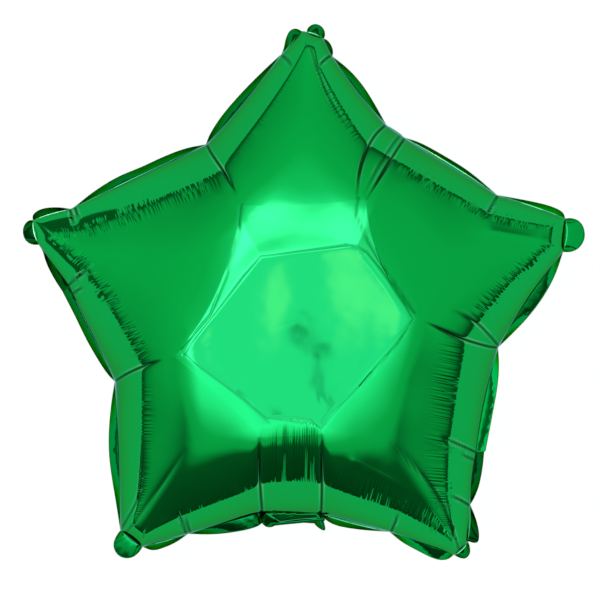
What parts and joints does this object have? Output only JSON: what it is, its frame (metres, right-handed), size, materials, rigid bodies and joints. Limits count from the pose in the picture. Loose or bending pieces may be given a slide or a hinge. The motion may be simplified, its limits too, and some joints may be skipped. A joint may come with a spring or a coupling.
{
  "type": "star foil balloon",
  "caption": "Inflated star-shaped balloon of shiny green metallised film with a sealed border, puckered edges and a flat filling neck folded behind.",
  "frame": {"origin": "middle of the flat spot that the back film rests on, under the middle of the star", "axes": "+Z through the front film, the short way through the balloon; +Y towards the top arm; +X across the wide pair of arms"},
  "size_m": [0.4, 0.3818, 0.14],
  "materials": {
    "green_foil": "mirror-bright metallised polyester film, green, finely creased"
  },
  "bodies": {
    "root": {"balloon": "green_foil"}
  },
  "joints": []
}
